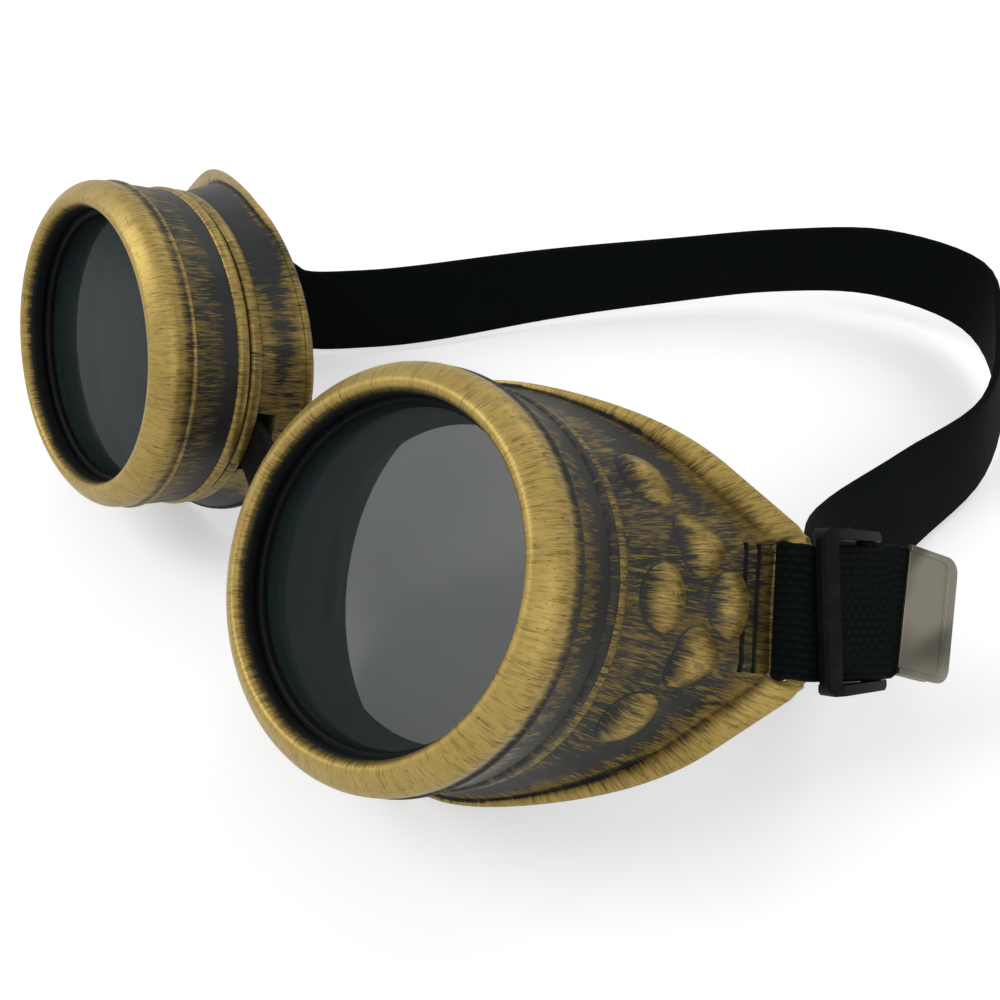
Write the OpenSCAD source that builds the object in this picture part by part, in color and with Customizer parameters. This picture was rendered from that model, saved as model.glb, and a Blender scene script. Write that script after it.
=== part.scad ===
// Round two-cup goggles with screw-on lens rings, a soft nose bridge and an elastic
// head strap. They lie on a table with the strap spread out behind them.
// Each eye is drawn in its own frame: X towards the temple, Y back towards the face,
// Z up, with the origin on the lens axis at the inner edge of the ring's front lip.

/* [Lens] */
// Radius of the lens disc
lens_r = 25; // [23:0.5:27]
// Thickness of the lens disc
lens_t = 2; // [1:0.25:3]
// How far the spacer reaches inside the lens edge
gasket_lap = 1.8; // [1:0.1:3]
// Thickness of the spacer in front of the lens
gasket_t = 1.2; // [0.6:0.2:2]

/* [Screw ring] */
// How far the ring's lip covers the lens edge
lip_lap = 1; // [0.5:0.1:2]
// How far the rounded lip stands in front of its inner edge
lip_h = 1.4; // [0.8:0.1:2.4]
// Thickness of the lip behind its inner edge
lip_back = 2.4; // [1.5:0.1:3.5]
// Wall outside the thread
ring_wall = 1.9; // [1.2:0.1:3]
// Length of the ring behind the lip's inner edge
ring_len = 14.6; // [13:0.1:18]
// Travel of the ring in one turn
thread_pitch = 3; // [2.6:0.1:3.6]
// Height of the thread ridges
thread_h = 0.7; // [0.5:0.1:1]
// Turns of thread on the cup
thread_turns = 1.5; // [1:0.25:1.5]

/* [Eye cup] */
// Wall of the threaded barrel
barrel_wall = 2.5; // [2:0.1:3.5]
// Wall of the flared shell
cup_wall = 2; // [1.5:0.1:2.5]
// Thickness of the flange behind the ring
flange_t = 2.3; // [1.8:0.1:3]
// Depth of the rim above and below the eye
top_depth = 24; // [23:0.5:28]
// Depth of the rim at the temple
temple_depth = 39.5; // [36:0.5:44]
// Depth of the rim beside the nose
nose_depth = 27; // [25:0.5:30]
// Half height of the rim
rim_half_h = 32.3; // [31.5:0.1:35]
// Reach of the rim towards the nose
nose_reach = 31; // [30.5:0.1:33]
// Reach of the rim towards the temple
temple_reach = 46.6; // [44:0.2:50]
// Width of the rolled brim above and below the eye
brim_top = 1.2; // [0.6:0.1:2]
// Width of the brim at the temple, where it makes the strap bar
brim_temple = 5.4; // [5:0.1:7]
// Radius of a dome
dome_r = 4.3; // [3.5:0.05:5]
// Height of a dome
dome_h = 2; // [1.5:0.1:3.5]

/* [Strap slots] */
// Width of the slot that the strap runs through
slot_w = 2.2; // [2:0.1:2.6]
// Width of the bar outside that slot
bar_w = 2.6; // [2:0.1:3.5]
// Width of the two thin slits
slit_w = 0.9; // [0.6:0.1:1.2]
// Length of the two thin slits
slit_len = 18; // [12:0.5:20]

/* [Strap] */
// Width of the webbing where it lies free
strap_w = 20; // [18:0.5:22]
// Width of the webbing where it is drawn in by the slots and the slider
strap_end_w = 18.4; // [15:0.2:19]
// Thickness of the webbing
strap_t = 1.5; // [1:0.1:1.8]
// Length of the sewn loop at the right cup
loop_len = 10; // [8:1:16]

/* [Slider and end clip] */
// Length of the slider along the strap
slider_len = 15.5; // [14:0.5:17]
// Width of the slider's front rail
rail_w = 3.3; // [2.5:0.1:4.5]
// Width of its sides, above and below the webbing
slider_side = 1.4; // [1:0.1:2.4]
// Length of the metal end clip
clip_len = 10.4; // [8:0.2:14]
// Slant of the clip across the webbing
clip_turn = 12; // [0:1:14]
// Thickness of its sheet
clip_sheet = 0.5; // [0.3:0.1:0.8]

/* [Nose bridge] */
// Width of the soft strip
bridge_w = 9.5; // [7:0.5:12]
// Thickness of the strip
bridge_t = 2.2; // [1.5:0.1:2.4]
// Radius of the bead at each end
bead_r = 1.6; // [1.4:0.1:1.8]
// Swing that the mouths of the bead sockets allow, each way
bridge_swing = 22; // [15:1:30]

/* [Resting pose] */
// Distance between the two lens centres
lens_spacing = 78.4; // [74:0.2:84]
// Height of the lens centres above the table
lens_height = 40.06; // [38:0.01:42]
// Distance from the middle of the floor outline forward to the lens centres
lens_forward = 81.864; // [70:0.001:90]
// Distance from that middle sideways to the point between the lens centres
lens_aside = -6.07; // [-12:0.01:0]
// Turns of the left cup about X, Y and Z
left_turn = [-46.3, -21.3, 17.8];
// Turns of the right cup about X, Y and Z
right_turn = [-25.1, 12.1, -7.7];

/* [Hidden] */

$fn = 96;
fit_gap = 0.3;         // gap between pieces that move against each other
small = 0.4;           // overlap that joins the solids of one piece
arc_steps = 8;         // straight runs in a quarter of a rounded edge

// Places along the lens axis, front to back
view_r = lens_r - lip_lap;
gasket_y = lip_back + fit_gap;
lens_y = gasket_y + gasket_t + 0.02;
barrel_y = lens_y + lens_t + fit_gap;
flange_y = ring_len + fit_gap;
flange_back = flange_y + flange_t;

// Radii, inside to outside
seat_r = lens_r + fit_gap;
barrel_r = lens_r + 0.9;
barrel_in = barrel_r - barrel_wall;
bore_r = barrel_r + thread_h + fit_gap;
ring_r = bore_r + ring_wall;
bead_proud = 0.6;
neck_r = ring_r - 0.5;

// Thread ridges: wide at the root, narrow at the crest
thread_root = thread_pitch / 2 - fit_gap;
thread_crest = thread_root - 0.4;
thread_y = barrel_y + 1.5;
thread_steps = 36;
thread_from = 33;      // angle where each ridge starts

// Flared shell
brim_t = 1.6;
brim_least = 0.5;
brim_end = 112;        // angle from the temple where the brim runs out
brim_fade = 14;

// Strap slot, bar and slits
slot_x = temple_reach - bar_w - slot_w / 2;
slot_len = strap_end_w + 0.8;
ear_half = slot_len / 2 + 0.8;
ear_slope = 0.868;     // lean of the straight side below and above the strap bar
ear_a = atan(ear_half / temple_reach);
SHELL_ANGLES = concat(
    [for (a = [-180 : 5 : -20]) a], [-ear_a - 3, -ear_a, -ear_a + 1.2, -8, -4, 0, 4, 8,
    ear_a - 1.2, ear_a, ear_a + 3], [for (a = [20 : 5 : 175]) a]);
slit_in = [2.3, 4.6];  // from the foot of the wall down to each slit

// Nose bridge sockets
socket_r = bead_r + fit_gap;
boss_r = socket_r + 1.1;
socket_x = neck_r - 2.4;
socket_y = flange_y + boss_r + 0.4;
mouth_r = ring_r + 3;
mouth_room = 3.4;      // room above and below the strip, where it curves away

function turn_x(v, a) = [v[0], v[1] * cos(a) - v[2] * sin(a), v[1] * sin(a) + v[2] * cos(a)];
function turn_y(v, a) = [v[0] * cos(a) + v[2] * sin(a), v[1], v[2] * cos(a) - v[0] * sin(a)];
function turn_z(v, a) = [v[0] * cos(a) - v[1] * sin(a), v[0] * sin(a) + v[1] * cos(a), v[2]];
function turned(v, t) = turn_z(turn_y(turn_x(v, t[0]), t[1]), t[2]);
function unit(v) = v / norm(v);
function arc(cx, cy, rx, ry, from, to, steps = arc_steps) =
    [for (i = [0 : steps]) let (a = from + (to - from) * i / steps) [cx + rx * cos(a), cy + ry * sin(a)]];

// The two eyes stand on the table at these places
left_at = [lens_aside + lens_spacing / 2, -lens_forward, lens_height];
right_at = [lens_aside - lens_spacing / 2, -lens_forward, lens_height];
function left_point(p) = left_at + turned(p, left_turn);
function right_point(p) = right_at + turned([-p[0], p[1], p[2]], right_turn);

module at_left() translate(left_at) rotate(left_turn) children();
module at_right() translate(right_at) rotate(right_turn) children();
module at_right_mirrored() at_right() mirror([1, 0, 0]) children();
module on_axis() rotate([-90, 0, 0]) children();

// A smooth curve through the points of p, with n steps from each to the next
function between(p, i, t) = let (
        a = i > 0 ? p[i - 1] : 2 * p[0] - p[1],
        b = p[i],
        c = p[i + 1],
        d = i + 2 < len(p) ? p[i + 2] : 2 * c - b)
    0.5 * (2 * b + (c - a) * t + (2 * a - 5 * b + 4 * c - d) * t * t + (3 * b - a - 3 * c + d) * t * t * t);
function smooth(p, n) = concat(
    [for (i = [0 : len(p) - 2], k = [0 : n - 1]) between(p, i, k / n)], [p[len(p) - 1]]);
function heading(p, i) = unit(p[min(i + 1, len(p) - 1)] - p[max(i - 1, 0)]);

// A solid whose cross-sections are the lists of points in rings, each with m points
module skin(rings) {
    m = len(rings[0]);
    last = len(rings) - 1;
    polyhedron(
        points = [for (r = rings) each r],
        faces = concat(
            [[for (k = [0 : m - 1]) k]],
            [for (i = [0 : last - 1], k = [0 : m - 1]) let (a = i * m + k, b = i * m + (k + 1) % m)
                each [[a, a + m, b + m], [a, b + m, b]]],
            [[for (k = [m - 1 : -1 : 0]) last * m + k]]));
}

// A ridge that winds round the axis; both radii and widths are of the ridge's root and crest
module thread_ridge(root, crest, start, turns) {
    side = root < crest ? 1 : -1;
    steps = ceil(turns * thread_steps);
    section = [[root, -thread_root / 2], [crest, -thread_crest / 2],
               [crest, thread_crest / 2], [root, thread_root / 2]];
    on_axis() skin([for (i = [0 : steps]) let (a = i * 360 / thread_steps, rise = start + thread_pitch * a / 360, b = a + thread_from)
        [for (k = [0 : 3]) let (p = section[side > 0 ? 3 - k : k])
            [p[0] * cos(b), p[0] * sin(b), p[1] + rise]]]);
}

// The screw ring: rounded lip, wall with a thin raised line, rear bead and inner thread.
// LIP gives the rounding: share of the way out to the wall, share of the lip's height
LIP = [[0, 0], [0.05, 0.55], [0.14, 0.9], [0.26, 1], [0.38, 0.9], [0.52, 0.6],
       [0.68, 0.2], [0.82, -0.25], [0.93, -0.8], [0.98, -1.3], [1, -1.9]];
module ring() {
    bead_y = ring_len - 2.2;
    line_y = 4.6;
    bead_mid = (bead_y + ring_len) / 2;
    on_axis() rotate_extrude() polygon(concat(
        smooth([for (p = LIP) [view_r + p[0] * (ring_r - view_r), -p[1] * lip_h]], 3),
        [[ring_r, line_y - 0.4], [ring_r + 0.35, line_y - 0.15],
         [ring_r + 0.35, line_y + 0.15], [ring_r, line_y + 0.4], [ring_r, bead_y]],
        arc(ring_r - 0.1, bead_mid, bead_proud + 0.1, (ring_len - bead_y) / 2, -75, 75),
        [[ring_r - 0.4, ring_len], [bore_r, ring_len], [bore_r, barrel_y],
         [seat_r, barrel_y - 0.3], [seat_r, lip_back], [view_r + 0.3, lip_back]]));
    thread_ridge(bore_r + small, bore_r - thread_h, thread_y + thread_pitch / 2, thread_turns);
}

module lens() {
    on_axis() translate([0, 0, lens_y]) cylinder(r = lens_r, h = lens_t);
}

module gasket() {
    on_axis() translate([0, 0, gasket_y]) difference() {
        cylinder(r = lens_r, h = gasket_t);
        translate([0, 0, -1]) cylinder(r = lens_r - gasket_lap, h = gasket_t + 2);
    }
}

// Rim outline and depth at angle a, measured round the lens axis from the temple
rim_power = 3;
depth_power = 1.3;
function ear_r(a) = abs(a) > 30 ? 0 : min(temple_reach / cos(a),
    (ear_half + ear_slope * temple_reach) / (abs(sin(a)) + ear_slope * cos(a))) - (abs(abs(a) - ear_a) < 1 ? 0.4 : 0);
function rim_r(a) = cos(a) > 0
    ? max(rim_half_h + (temple_reach - 1.5 - rim_half_h) * pow(cos(a), rim_power), ear_r(a))
    : rim_half_h + (nose_reach - rim_half_h) * pow(cos(a), 2);
function rim_y(a) = let (x = rim_r(a) * cos(a)) x > 0
    ? top_depth + (temple_depth - top_depth) * pow(x / temple_reach, depth_power)
    : top_depth + (nose_depth - top_depth) * pow(x / nose_reach, 2);
function brim_share(a) = min(1, max(0, (brim_end - abs(a)) / brim_fade));
function brim_w(a) = max(brim_least,
    brim_share(a) * (brim_top + (brim_temple - brim_top) * pow(max(0, cos(a)), 1.5)));
function foot_r(a) = rim_r(a) - brim_w(a);
function foot_y(a) = rim_y(a) - brim_t;
shell_y = flange_back - 0.8;
// A point on the outside of the wall: k is 0 at the flange and 1 at the foot of the brim
function wall_at(a, k) = let (r = neck_r + (foot_r(a) - neck_r) * k)
    [r * cos(a), shell_y + (foot_y(a) - shell_y) * k, r * sin(a)];
function shell_section(a) = let (r = rim_r(a), y = rim_y(a), f = foot_r(a)) [
    [neck_r, shell_y], [f, y - brim_t], [f + (r - f) * 0.5, y - brim_t - 0.05],
    [r - 0.3, y - brim_t + 0.1], [r, y - brim_t * 0.6], [r - 0.1, y - 0.3], [r - 0.5, y],
    [f - cup_wall * 0.95, y], [neck_r - cup_wall * 1.05, shell_y]];

module shell() {
    rings = [for (a = SHELL_ANGLES) [for (p = shell_section(a)) [p[0] * cos(a), p[1], p[0] * sin(a)]]];
    m = len(rings[0]);
    n = len(rings);
    polyhedron(
        points = [for (r = rings) each r],
        faces = [for (i = [0 : n - 1], k = [0 : m - 1]) let (
                a = i * m + k,
                b = i * m + (k + 1) % m,
                c = ((i + 1) % n) * m + k,
                d = ((i + 1) % n) * m + (k + 1) % m)
            each [[a, c, d], [a, d, b]]]);
}

// The moulded domes stand in a triangle that points to the temple: angle and share of the wall
DOMES = [[31, 0.42], [0, 0.27], [-31, 0.42], [12.8, 0.52], [-12.8, 0.52], [0, 0.71]];
module domes() {
    cap_r = (dome_r * dome_r + dome_h * dome_h) / (2 * dome_h);
    foot = 1;
    for (d = DOMES) {
        p = wall_at(d[0], d[1]);
        along = wall_at(d[0], 1) - wall_at(d[0], 0);
        across = wall_at(d[0] + 1, d[1]) - wall_at(d[0] - 1, d[1]);
        out = unit(cross(along, across));
        pitch_a = acos(out[2]);
        yaw_a = atan2(out[1], out[0]);
        translate(p) rotate([0, pitch_a, yaw_a]) intersection() {
            translate([0, 0, dome_h - cap_r]) sphere(r = cap_r);
            translate([0, 0, -foot]) cylinder(r = dome_r, h = foot + dome_h + 1);
        }
    }
}

module slot_cuts() {
    translate([slot_x - slot_w / 2, top_depth + 4, -slot_len / 2]) cube([slot_w, temple_depth, slot_len]);
    foot = wall_at(0, 1);
    down = unit(wall_at(0, 0) - foot);
    for (s = slit_in)
        translate(foot + down * s) rotate([0, 0, atan2(down[1], down[0])])
            cube([slit_w, 3 * cup_wall + 1, slit_len], center = true);
}

// The bead socket beside the nose: a boss, and the bore and mouth cut into it
module socket_boss() {
    on_axis() translate([0, 0, socket_y - boss_r]) intersection() {
        cylinder(r = ring_r, h = 2 * boss_r);
        translate([-socket_x, 0, boss_r]) rotate([90, 0, 0])
            cylinder(r = boss_r, h = bridge_w + mouth_room + 2.6, center = true);
    }
}
module socket_cuts() {
    far = mouth_r - socket_x;
    half = bridge_t / 2 + 0.1 + far * tan(bridge_swing);
    translate([-socket_x, socket_y, 0]) {
        cylinder(r = socket_r, h = bridge_w + mouth_room + 6, center = true);
        linear_extrude(height = bridge_w + mouth_room, center = true)
            polygon([[0, -bridge_t / 2 - 0.15], [-far, -half], [-far, half], [0, bridge_t / 2 + 0.15]]);
    }
}

module cup_body() {
    flange_r = ring_r + 0.55;
    on_axis() rotate_extrude() polygon(concat(
        [[barrel_in, barrel_y], [barrel_r, barrel_y], [barrel_r, flange_y]],
        arc(flange_r - 0.7, flange_y + flange_t / 2, 0.7, flange_t / 2, -90, 90),
        [[neck_r - 1, flange_back], [neck_r - cup_wall, flange_back + 0.4], [barrel_in, flange_back - 1]]));
    shell();
    socket_boss();
}

module cup() {
    difference() {
        cup_body();
        slot_cuts();
        socket_cuts();
    }
    domes();
}
module cup_thread() thread_ridge(barrel_r - small, barrel_r + thread_h, thread_y, thread_turns);

module left_cup() color([0.52, 0.42, 0.2]) at_left() {
    cup();
    cup_thread();
}
module right_cup() color([0.52, 0.42, 0.2]) {
    at_right_mirrored() cup();
    at_right() cup_thread();
}
module left_ring() color([0.62, 0.5, 0.25]) at_left() ring();
module right_ring() color([0.62, 0.5, 0.25]) at_right() ring();
module left_gasket() color([0.05, 0.05, 0.05]) at_left() gasket();
module right_gasket() color([0.05, 0.05, 0.05]) at_right() gasket();
module left_lens() color([0.1, 0.12, 0.12, 0.8]) at_left() lens();
module right_lens() color([0.1, 0.12, 0.12, 0.8]) at_right() lens();

// The nose bridge is one soft strip, bent and twisted between the two sockets
bridge_reach = 10;
module nose_bridge() color([0.06, 0.06, 0.06]) {
    a = left_point([-socket_x, socket_y, 0]);
    b = right_point([-socket_x, socket_y, 0]);
    ta = turned([-1, 0, 0], left_turn) * bridge_reach;
    tb = turned([-1, 0, 0], right_turn) * bridge_reach;
    wa = turned([0, 0, 1], left_turn);
    wb = turned([0, 0, 1], right_turn);
    path = [for (i = [0 : 16]) let (t = i / 16, u = 1 - t)
        a * u * u * u + 3 * (a + ta) * u * u * t + 3 * (b - tb) * u * t * t + b * t * t * t];
    skin([for (i = [0 : 16]) let (
            h = heading(path, i),
            w0 = wa * (1 - i / 16) + wb * i / 16,
            w = unit(w0 - (w0 * h) * h) * bridge_w / 2,
            n = cross(h, unit(w)) * bridge_t / 2,
            p = path[i])
        [p - w - n, p + w - n, p + w + n, p - w + n]]);
    at_left() translate([-socket_x, socket_y, 0]) cylinder(r = bead_r, h = bridge_w, center = true);
    at_right() translate([socket_x, socket_y, 0]) cylinder(r = bead_r, h = bridge_w, center = true);
}

// Webbing that lies in the plane of a cup's X and Y: the path is its middle line
module band(path, thick = strap_t, wide = strap_end_w) {
    n = len(path);
    side = [for (i = [0 : n - 1]) let (h = heading(path, i)) [-h[1], h[0]] * thick / 2];
    linear_extrude(height = wide, center = true)
        polygon(concat([for (i = [0 : n - 1]) path[i] + side[i]],
                       [for (i = [n - 1 : -1 : 0]) path[i] - side[i]]));
}

bar_x = temple_reach - bar_w / 2;
wrap = bar_w / 2 + strap_t / 2 + 0.35;
inner_x = bar_x - 0.7;

// At the right cup the strap's end goes round the bar and is sewn to itself
loop_end = temple_depth + loop_len;
module right_strap_loop() color([0.04, 0.04, 0.04]) at_right_mirrored() band(smooth([
    [inner_x, loop_end], [inner_x - 0.2, temple_depth + 7], [bar_x - wrap, temple_depth + 1.2],
    [bar_x - wrap + 0.1, temple_depth - brim_t - 1], [bar_x, temple_depth - brim_t - 2.2],
    [bar_x + wrap, temple_depth - brim_t - 0.2], [bar_x + wrap, temple_depth + 2.5],
    [inner_x + strap_t + 0.4, temple_depth + 8], [inner_x + strap_t + 0.1, loop_end - 1]], 5));

// Bar tacks: short raised rows of thread across the webbing
module tacks(from, to, rows) {
    for (i = [0 : rows - 1], s = [-1 : 1])
        translate([from[0] + (to[0] - from[0]) * i / (rows - 1),
                   from[1] + (to[1] - from[1]) * i / (rows - 1), s * strap_end_w * 0.3])
            rotate([90, 0, 0]) rotate([0, 90, 0]) cylinder(r = 0.35, h = 2.4, center = true, $fn = 16);
}
module right_stitching() color([0.1, 0.1, 0.1]) at_right_mirrored()
    tacks([inner_x + 1.5 * strap_t + 0.2, loop_end - 6], [inner_x + 1.5 * strap_t + 0.15, loop_end - 2.5], 3);

// The long free run of the strap, thrown back in a loop: a place and a width direction
// for each station, counted from the middle between the lens centres
STRAP = [
    [[-79.3, 53.5, -16.5], [0.4, 0.5, 0.75]],
    [[-74, 58.5, -25], [0.1, 0.55, 0.83]],
    [[-67.5, 63, -28.6], [0, 0.4, 0.92]],
    [[-58, 73, -29], [-0.15, 0.22, 0.96]],
    [[-48, 87, -29], [-0.25, 0.1, 0.97]],
    [[-30, 116, -28], [-0.05, 0, 1]],
    [[-11, 142, -27], [0.05, -0.1, 1]],
    [[9, 164, -25], [0.05, -0.2, 0.98]],
    [[31, 178, -23], [0, -0.2, 0.98]],
    [[56, 177, -23], [-0.05, -0.2, 0.97]],
    [[71, 157, -26], [-0.25, -0.25, 0.94]],
    [[79, 130, -29], [-0.27, -0.15, 0.95]],
    [[76, 102, -30], [-0.45, 0.05, 0.9]],
    [[74, 73, -27], [-0.57, 0.2, 0.8]]];
module head_strap() color([0.04, 0.04, 0.04]) {
    mid = (left_at + right_at) / 2;
    start = right_point([inner_x, loop_end + fit_gap, 0]);
    finish = left_point([tail_from[0], tail_from[1] + fit_gap, 0]);
    path = smooth(concat([start], [for (s = STRAP) mid + s[0]], [finish]), 6);
    wide = smooth(concat([turned([0, 0, 1], right_turn)], [for (s = STRAP) s[1]],
                         [turned([0, 0, 1], left_turn)]), 6);
    last = len(path) - 1;
    skin([for (i = [0 : last]) let (
            h = i == 0 ? turned([0, 1, 0], right_turn)
              : i == last ? turned([0, -1, 0], left_turn) : heading(path, i),
            full = min(1, min(i, last - i) / 8),
            w = unit(wide[i] - (wide[i] * h) * h) * (strap_end_w + (strap_w - strap_end_w) * full) / 2,
            n = cross(h, unit(w)) * strap_t / 2,
            p = path[i])
        [p - w - n, p + w - n, p + w + n, p - w + n]]);
}

// At the left cup the strap's end comes round the bar as a stiff tail; on its frame
// X runs along the webbing, Y stands out from it and Z lies across it
tail_slant = 30;
tail_rise = 5.5;
tail_at = [temple_reach + 1.4, temple_depth - 1.5];
tail_from = [inner_x - 0.2, temple_depth + 6];
tail_x = [sin(tail_slant) * cos(tail_rise), cos(tail_slant) * cos(tail_rise), sin(tail_rise)];
tail_z = [-sin(tail_slant) * sin(tail_rise), -cos(tail_slant) * sin(tail_rise), cos(tail_rise)];
module tail_frame() translate([tail_at[0], tail_at[1], 0]) rotate([0, 0, 90 - tail_slant])
    rotate([0, -tail_rise, 0]) mirror([0, 1, 0]) children();
slider_start = -2;
slider_end = slider_start + slider_len;
clip_at = [slider_end + 2.2, 0.6];
clip_x = tail_x * cos(clip_turn) - tail_z * sin(clip_turn);
clip_z = tail_x * sin(clip_turn) + tail_z * cos(clip_turn);

module strap_tail() color([0.04, 0.04, 0.04]) at_left() {
    foot = [tail_at[0], tail_at[1], 0];
    clip_foot = foot + tail_x * clip_at[0] + tail_z * clip_at[1];
    bend = smooth([
        [tail_from[0], tail_from[1], 0], [bar_x - wrap, temple_depth + 1.5, 0],
        [bar_x - wrap, temple_depth - brim_t - 0.9, 0], [bar_x - 1.2, temple_depth - brim_t - 2.4, 0],
        [bar_x + 0.6, temple_depth - brim_t - 2.6, 0], foot - tail_x * 1.5, foot + tail_x * 1.5], 5);
    n = cross(tail_x, tail_z) * strap_t / 2;
    flat = [[foot + tail_x * (slider_end - 1.5), tail_z], [clip_foot - clip_x * 0.6, clip_z],
            [clip_foot + clip_x * (clip_len - 0.6), clip_z]];
    last = len(bend) - 1;
    skin(concat(
        [for (i = [0 : last]) let (
            h = heading(bend, i),
            lean = max(0, min(1, (i - last + 12) / 8)),
            w = unit([0, 0, 1] * (1 - lean) + tail_z * lean) * strap_end_w / 2,
            m = unit(cross(h, w)) * strap_t / 2,
            p = bend[i])
            [p - w - m, p + w - m, p + w + m, p - w + m]],
        [for (f = flat) let (p = f[0], w = f[1] * strap_end_w / 2)
            [p - w - n, p + w - n, p + w + n, p - w + n]]));
}

// The slider: a rail in front of the webbing, a rail behind it, and a side above and below
rail_t = 1.9;
back_rail = 3;
slider_z = 0.3;
module slider_side_shape() {
    far = strap_t / 2 + fit_gap + rail_t;
    polygon([[0, far - 1.6], [0.8, far - 2.4], [slider_len - back_rail, -far], [slider_len - 0.6, -far],
             [slider_len, 0.6 - far], [slider_len, 2.3 - far], [slider_len - 0.7, 3 - far],
             [rail_w, far], [0.8, far], [0, far - 0.8]]);
}
module rail(wide, thick, long) {
    e = thick / 4;
    linear_extrude(height = long, center = true) polygon(
        [[e, 0], [wide - e, 0], [wide, e], [wide, thick - e], [wide - e, thick], [e, thick], [0, thick - e], [0, e]]);
}
module strap_slider() color([0.08, 0.08, 0.09]) at_left() tail_frame() {
    near = strap_t / 2 + fit_gap;
    inside = strap_end_w / 2 + slider_z + fit_gap;
    translate([slider_start, 0, slider_z]) {
        for (s = [-1, 1]) translate([0, 0, s * (inside + slider_side / 2)])
            linear_extrude(height = slider_side, center = true) slider_side_shape();
        translate([0, near, 0]) rail(rail_w, rail_t, 2 * inside + 1);
        translate([slider_len - back_rail, -near - rail_t, 0]) rail(back_rail, rail_t, 2 * inside + 1);
        translate([slider_len * 0.47, 0, inside + slider_side - 0.2]) cylinder(r = 0.7, h = 0.6, $fn = 24);
    }
}

// The end clip: sheet metal folded over the webbing's end and pressed on, with a raised border
module clip_plate(in) {
    r = 2.4 - in;
    half = strap_end_w / 2 + 0.2 - in;
    polygon(concat([[in, -half]], arc(clip_len - in - r, -half + r, r, r, -90, 0),
                   arc(clip_len - in - r, half - r, r, r, 0, 90), [[in, half]]));
}
module end_clip() color([0.62, 0.59, 0.5]) at_left() tail_frame()
    translate([clip_at[0], 0, clip_at[1]]) rotate([0, clip_turn, 0]) {
    thick = strap_t + 2 * clip_sheet;
    border = 1;
    rotate([90, 0, 0]) difference() {
        union() {
            linear_extrude(height = thick, center = true) clip_plate(0);
            linear_extrude(height = thick + 0.5, center = true) difference() {
                clip_plate(0);
                translate([-border, 0]) clip_plate(border);
                translate([-1, -strap_end_w / 2 + border]) square([3, strap_end_w - 2 * border]);
            }
        }
        translate([-1, -strap_end_w / 2 - 1, 0.05 - strap_t / 2])
            cube([clip_len + 0.4, strap_end_w + 2, strap_t - 0.1]);
    }
}

left_cup();
left_ring();
left_gasket();
left_lens();
right_cup();
right_ring();
right_gasket();
right_lens();
nose_bridge();
head_strap();
right_strap_loop();
right_stitching();
strap_tail();
strap_slider();
end_clip();
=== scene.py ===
# Round two-cup goggles: screw-on lens rings, flared eye cups, a soft nose bridge and an
# elastic head strap, lying on a pale studio floor. Sizes are in millimetres and are turned
# into metres where a piece is placed.
import math

import bpy
import bmesh
import numpy as np
from mathutils import Euler, Matrix, Vector


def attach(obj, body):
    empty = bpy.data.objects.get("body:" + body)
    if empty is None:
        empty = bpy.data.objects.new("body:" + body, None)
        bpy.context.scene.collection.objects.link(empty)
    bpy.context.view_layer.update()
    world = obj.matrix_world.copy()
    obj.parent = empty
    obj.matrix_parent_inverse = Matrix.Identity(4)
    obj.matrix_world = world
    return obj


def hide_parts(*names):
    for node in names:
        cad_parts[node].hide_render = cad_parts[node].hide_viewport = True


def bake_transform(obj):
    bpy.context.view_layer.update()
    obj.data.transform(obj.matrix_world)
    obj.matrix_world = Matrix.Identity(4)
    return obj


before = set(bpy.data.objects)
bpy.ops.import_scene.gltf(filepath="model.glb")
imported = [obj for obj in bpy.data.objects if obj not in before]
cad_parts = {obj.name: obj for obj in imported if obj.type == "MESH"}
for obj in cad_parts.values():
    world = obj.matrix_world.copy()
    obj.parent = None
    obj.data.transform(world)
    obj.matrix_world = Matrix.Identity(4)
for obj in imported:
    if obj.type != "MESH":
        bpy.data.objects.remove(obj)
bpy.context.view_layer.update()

# Screw rings. Each is one injection-moulded ring of black plastic: a rounded lip that holds
# the lens, a wall with one raised line, and a bead at the rear. Gold paint is dry-brushed over
# it, so it covers what stands proud and breaks into strokes along the wall.
view_r = 24
ring_r = 28.8
ring_len = 14.6
lip_h = 1.4
lip_back = 2.4
line_y, line_h = 4.6, 0.35
bead_y = ring_len - 2.2
thread_bore = 26.9
seat_r, seat_back = 25.3, 6.22
unpainted = -1

# Where the two eyes stand. Each eye has its own frame: X towards the temple, Y back towards
# the face, Z up, with the origin on the lens axis at the inner edge of the ring's front lip.
left_at = Vector((33.13, -81.864, 40.06))
right_at = Vector((-45.27, -81.864, 40.06))
left_turn, right_turn = (-46.3, -21.3, 17.8), (-25.1, 12.1, -7.7)


def eye_place(at, turn, mirrored=False):
    """From an eye's frame in millimetres to the scene in metres."""
    aim = Euler([math.radians(t) for t in turn], "XYZ").to_matrix().to_4x4()
    flip = Matrix.Diagonal((-1 if mirrored else 1, 1, 1, 1))
    return Matrix.Scale(0.001, 4) @ Matrix.Translation(at) @ aim @ flip


left_eye = eye_place(left_at, left_turn)
right_eye = eye_place(right_at, right_turn)
right_eye_mirrored = eye_place(right_at, right_turn, mirrored=True)


def in_scene(name, data):
    """A new object of this mesh, lamp or camera, in the scene."""
    thing = bpy.data.objects.new(name, data)
    bpy.context.scene.collection.objects.link(thing)
    return thing


def facing_out(mesh):
    """Turns the faces of a closed mesh outwards."""
    form = bmesh.new()
    form.from_mesh(mesh)
    bmesh.ops.recalc_face_normals(form, faces=form.faces)
    form.to_mesh(mesh)
    form.free()


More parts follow.
